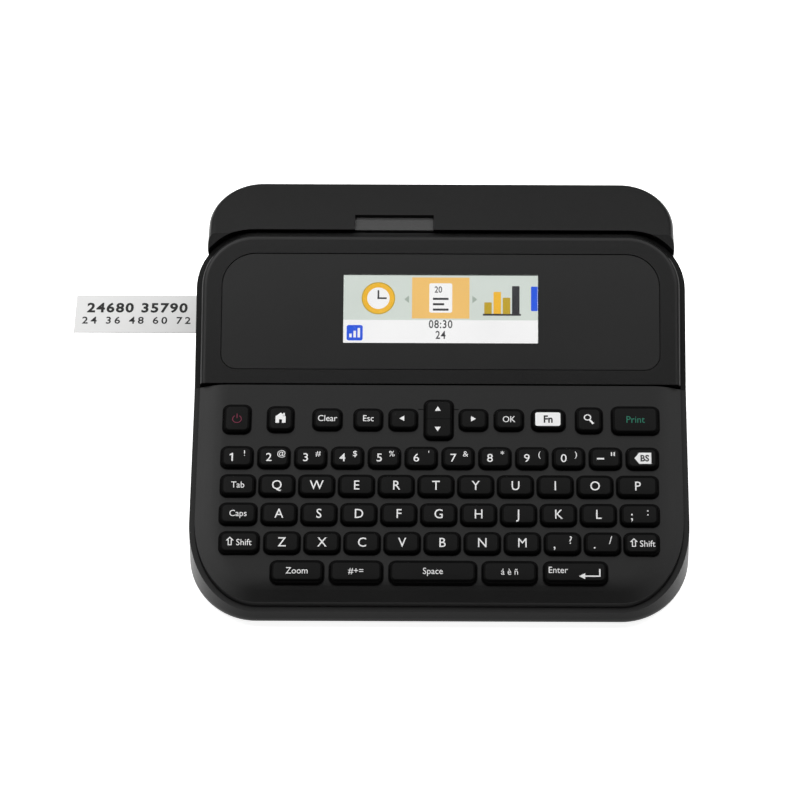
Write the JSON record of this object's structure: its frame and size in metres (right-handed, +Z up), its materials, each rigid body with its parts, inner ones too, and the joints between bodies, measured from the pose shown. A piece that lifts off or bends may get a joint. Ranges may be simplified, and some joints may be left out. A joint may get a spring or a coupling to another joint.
{
  "type": "label maker",
  "caption": "Desktop label maker with a sloping keyboard, a tilted colour display, a hinged rear tape cover and a printed label coming out of its side.",
  "frame": {"origin": "on the surface under the feet, under the middle of the whole part with its label", "axes": "+X to the right seen from the keyboard, +Y to the back, +Z up"},
  "size_m": [0.2546, 0.192, 0.0836],
  "materials": {
    "case_black": "fine moulded grain, satin",
    "panel_black": "smooth satin insert",
    "screen_glass": "clear polished window",
    "window_smoke": "grey see-through plastic",
    "key_black": "soft satin key caps",
    "label_white": "white laminated tape",
    "rubber_black": "matt rubber",
    "plate_steel": "pressed sheet steel",
    "blade_steel": "ground steel",
    "gear_white": "natural acetal",
    "motor_steel": "drawn steel can",
    "head_aluminium": "extruded heat sink",
    "board_green": "solder resist",
    "cassette_grey": "smooth dark grey",
    "tray_black": "moulded black",
    "cell_wrap": "printed metal wrap",
    "display_back": "display frame"
  },
  "bodies": {
    "case": {"bottom_case": "case_black", "top_case": "case_black", "display_housing": "case_black", "display_panel": "panel_black", "screen_lens": "screen_glass", "lcd_module": "display_back", "keypad_mat": "rubber_black", "keyboard_board": "board_green", "main_board": "board_green", "dc_jack": "tray_black", "usb_port": "plate_steel", "mechanism_plate": "plate_steel", "cassette_case": "cassette_grey", "tape_path": "label_white", "label_strip": "label_white", "print_head": "head_aluminium", "feed_motor": "motor_steel", "cutter_fixed_blade": "blade_steel", "cutter_motor": "motor_steel", "battery_tray": "tray_black", "battery_cells": "cell_wrap", "battery_contacts": "plate_steel", "rubber_feet": "rubber_black", "case_screws": "blade_steel"},
    "cover": {"rear_cover": "case_black", "cover_window": "window_smoke"},
    "roll": {"tape_roll": "label_white"},
    "spool": {"take_up_spool": "gear_white"},
    "idler": {"idler_gear": "gear_white"},
    "pinion": {"motor_pinion": "gear_white"},
    "holder": {"roller_holder": "plate_steel"},
    "platen": {"platen_roller": "rubber_black", "platen_shaft": "plate_steel"},
    "blade": {"cutter_blade": "blade_steel"},
    "blade_gear": {"cutter_gear": "gear_white"},
    "power_key": {"power_key": "key_black"},
    "home_key": {"home_key": "key_black"},
    "clear_key": {"clear_key": "key_black"},
    "escape_key": {"escape_key": "key_black"},
    "left_key": {"left_key": "key_black"},
    "up_key": {"up_key": "key_black"},
    "down_key": {"down_key": "key_black"},
    "right_key": {"right_key": "key_black"},
    "ok_key": {"ok_key": "key_black"},
    "function_key": {"function_key": "key_black"},
    "search_key": {"search_key": "key_black"},
    "print_key": {"print_key": "key_black"},
    "number_keys": {"number_keys": "key_black"},
    "tab_key": {"tab_key": "key_black"},
    "upper_letter_keys": {"upper_letter_keys": "key_black"},
    "caps_key": {"caps_key": "key_black"},
    "middle_letter_keys": {"middle_letter_keys": "key_black"},
    "left_shift_key": {"left_shift_key": "key_black"},
    "lower_letter_keys": {"lower_letter_keys": "key_black"},
    "right_shift_key": {"right_shift_key": "key_black"},
    "zoom_key": {"zoom_key": "key_black"},
    "symbol_key": {"symbol_key": "key_black"},
    "space_key": {"space_key": "key_black"},
    "accent_key": {"accent_key": "key_black"},
    "enter_key": {"enter_key": "key_black"}
  },
  "joints": [
    {"name": "cover_hinge", "type": "hinge", "parent": "case", "child": "cover", "pos_m": [0.02675, 0.0887, 0.041], "axis": [-1, 0, 0], "range_deg": [0, 85]},
    {"name": "roller_release", "type": "hinge", "parent": "case", "child": "holder", "pos_m": [-0.03725, 0.0702, 0.017], "axis": [0, -1, 0], "range_deg": [0, 4.5], "stiffness_Nm_per_rad": 0.02, "springref_deg": -17.19},
    {"name": "roll_spin", "type": "hinge", "parent": "case", "child": "roll", "pos_m": [0.00175, 0.0505, 0.05], "axis": [0, 1, 0], "continuous": true},
    {"name": "idler_spin", "type": "hinge", "parent": "case", "child": "idler", "pos_m": [-0.04678, 0.0505, 0.04147], "axis": [0, 1, 0], "continuous": true},
    {"name": "pinion_spin", "type": "hinge", "parent": "case", "child": "pinion", "pos_m": [-0.03282, 0.0505, 0.03169], "axis": [0, 1, 0], "continuous": true},
    {"name": "spool_spin", "type": "hinge", "parent": "case", "child": "spool", "pos_m": [-0.02625, 0.0505, 0.04895], "axis": [0, 1, 0], "continuous": true},
    {"name": "platen_spin", "type": "hinge", "parent": "holder", "child": "platen", "pos_m": [-0.05485, 0.0505, 0.02645], "axis": [0, 1, 0], "continuous": true},
    {"name": "cutter_swing", "type": "hinge", "parent": "case", "child": "blade", "pos_m": [-0.06485, 0.052, 0.0315], "axis": [-1, 0, 0], "range_deg": [0, 16], "stiffness_Nm_per_rad": 0.02, "springref_deg": -11.46},
    {"name": "cutter_gear_spin", "type": "hinge", "parent": "case", "child": "blade_gear", "pos_m": [-0.06405, 0.03295, 0.0315], "axis": [-1, 0, 0], "range_deg": [-47, 0]},
    {"name": "power_key_press", "type": "slide", "parent": "case", "child": "power_key", "axis": [0, 0.304, -0.9527], "range_m": [0, 0.0012], "stiffness_N_per_m": 300, "springref_m": -0.001},
    {"name": "home_key_press", "type": "slide", "parent": "case", "child": "home_key", "axis": [0, 0.304, -0.9527], "range_m": [0, 0.0012], "stiffness_N_per_m": 300, "springref_m": -0.001},
    {"name": "clear_key_press", "type": "slide", "parent": "case", "child": "clear_key", "axis": [0, 0.304, -0.9527], "range_m": [0, 0.0012], "stiffness_N_per_m": 300, "springref_m": -0.001},
    {"name": "escape_key_press", "type": "slide", "parent": "case", "child": "escape_key", "axis": [0, 0.304, -0.9527], "range_m": [0, 0.0012], "stiffness_N_per_m": 300, "springref_m": -0.001},
    {"name": "left_key_press", "type": "slide", "parent": "case", "child": "left_key", "axis": [0, 0.304, -0.9527], "range_m": [0, 0.0012], "stiffness_N_per_m": 300, "springref_m": -0.001},
    {"name": "up_key_press", "type": "slide", "parent": "case", "child": "up_key", "axis": [0, 0.304, -0.9527], "range_m": [0, 0.0012], "stiffness_N_per_m": 300, "springref_m": -0.001},
    {"name": "down_key_press", "type": "slide", "parent": "case", "child": "down_key", "axis": [0, 0.304, -0.9527], "range_m": [0, 0.0012], "stiffness_N_per_m": 300, "springref_m": -0.001},
    {"name": "right_key_press", "type": "slide", "parent": "case", "child": "right_key", "axis": [0, 0.304, -0.9527], "range_m": [0, 0.0012], "stiffness_N_per_m": 300, "springref_m": -0.001},
    {"name": "ok_key_press", "type": "slide", "parent": "case", "child": "ok_key", "axis": [0, 0.304, -0.9527], "range_m": [0, 0.0012], "stiffness_N_per_m": 300, "springref_m": -0.001},
    {"name": "function_key_press", "type": "slide", "parent": "case", "child": "function_key", "axis": [0, 0.304, -0.9527], "range_m": [0, 0.0012], "stiffness_N_per_m": 300, "springref_m": -0.001},
    {"name": "search_key_press", "type": "slide", "parent": "case", "child": "search_key", "axis": [0, 0.304, -0.9527], "range_m": [0, 0.0012], "stiffness_N_per_m": 300, "springref_m": -0.001},
    {"name": "print_key_press", "type": "slide", "parent": "case", "child": "print_key", "axis": [0, 0.304, -0.9527], "range_m": [0, 0.0012], "stiffness_N_per_m": 300, "springref_m": -0.001},
    {"name": "number_keys_press", "type": "slide", "parent": "case", "child": "number_keys", "axis": [0, 0.304, -0.9527], "range_m": [0, 0.0012], "stiffness_N_per_m": 300, "springref_m": -0.001},
    {"name": "tab_key_press", "type": "slide", "parent": "case", "child": "tab_key", "axis": [0, 0.304, -0.9527], "range_m": [0, 0.0012], "stiffness_N_per_m": 300, "springref_m": -0.001},
    {"name": "upper_letter_keys_press", "type": "slide", "parent": "case", "child": "upper_letter_keys", "axis": [0, 0.304, -0.9527], "range_m": [0, 0.0012], "stiffness_N_per_m": 300, "springref_m": -0.001},
    {"name": "caps_key_press", "type": "slide", "parent": "case", "child": "caps_key", "axis": [0, 0.304, -0.9527], "range_m": [0, 0.0012], "stiffness_N_per_m": 300, "springref_m": -0.001},
    {"name": "middle_letter_keys_press", "type": "slide", "parent": "case", "child": "middle_letter_keys", "axis": [0, 0.304, -0.9527], "range_m": [0, 0.0012], "stiffness_N_per_m": 300, "springref_m": -0.001},
    {"name": "left_shift_key_press", "type": "slide", "parent": "case", "child": "left_shift_key", "axis": [0, 0.304, -0.9527], "range_m": [0, 0.0012], "stiffness_N_per_m": 300, "springref_m": -0.001},
    {"name": "lower_letter_keys_press", "type": "slide", "parent": "case", "child": "lower_letter_keys", "axis": [0, 0.304, -0.9527], "range_m": [0, 0.0012], "stiffness_N_per_m": 300, "springref_m": -0.001},
    {"name": "right_shift_key_press", "type": "slide", "parent": "case", "child": "right_shift_key", "axis": [0, 0.304, -0.9527], "range_m": [0, 0.0012], "stiffness_N_per_m": 300, "springref_m": -0.001},
    {"name": "zoom_key_press", "type": "slide", "parent": "case", "child": "zoom_key", "axis": [0, 0.304, -0.9527], "range_m": [0, 0.0012], "stiffness_N_per_m": 300, "springref_m": -0.001},
    {"name": "symbol_key_press", "type": "slide", "parent": "case", "child": "symbol_key", "axis": [0, 0.304, -0.9527], "range_m": [0, 0.0012], "stiffness_N_per_m": 300, "springref_m": -0.001},
    {"name": "space_key_press", "type": "slide", "parent": "case", "child": "space_key", "axis": [0, 0.304, -0.9527], "range_m": [0, 0.0012], "stiffness_N_per_m": 300, "springref_m": -0.001},
    {"name": "accent_key_press", "type": "slide", "parent": "case", "child": "accent_key", "axis": [0, 0.304, -0.9527], "range_m": [0, 0.0012], "stiffness_N_per_m": 300, "springref_m": -0.001},
    {"name": "enter_key_press", "type": "slide", "parent": "case", "child": "enter_key", "axis": [0, 0.304, -0.9527], "range_m": [0, 0.0012], "stiffness_N_per_m": 300, "springref_m": -0.001}
  ],
  "couplings": [
    {"joint": "idler_spin", "follows": "roll_spin", "ratio": 2.05},
    {"joint": "pinion_spin", "follows": "roll_spin", "ratio": -5.125},
    {"joint": "spool_spin", "follows": "roll_spin", "ratio": -2.5625},
    {"joint": "platen_spin", "follows": "roll_spin", "ratio": -5.125},
    {"joint": "cutter_gear_spin", "follows": "cutter_swing", "ratio": -2.9167}
  ]
}
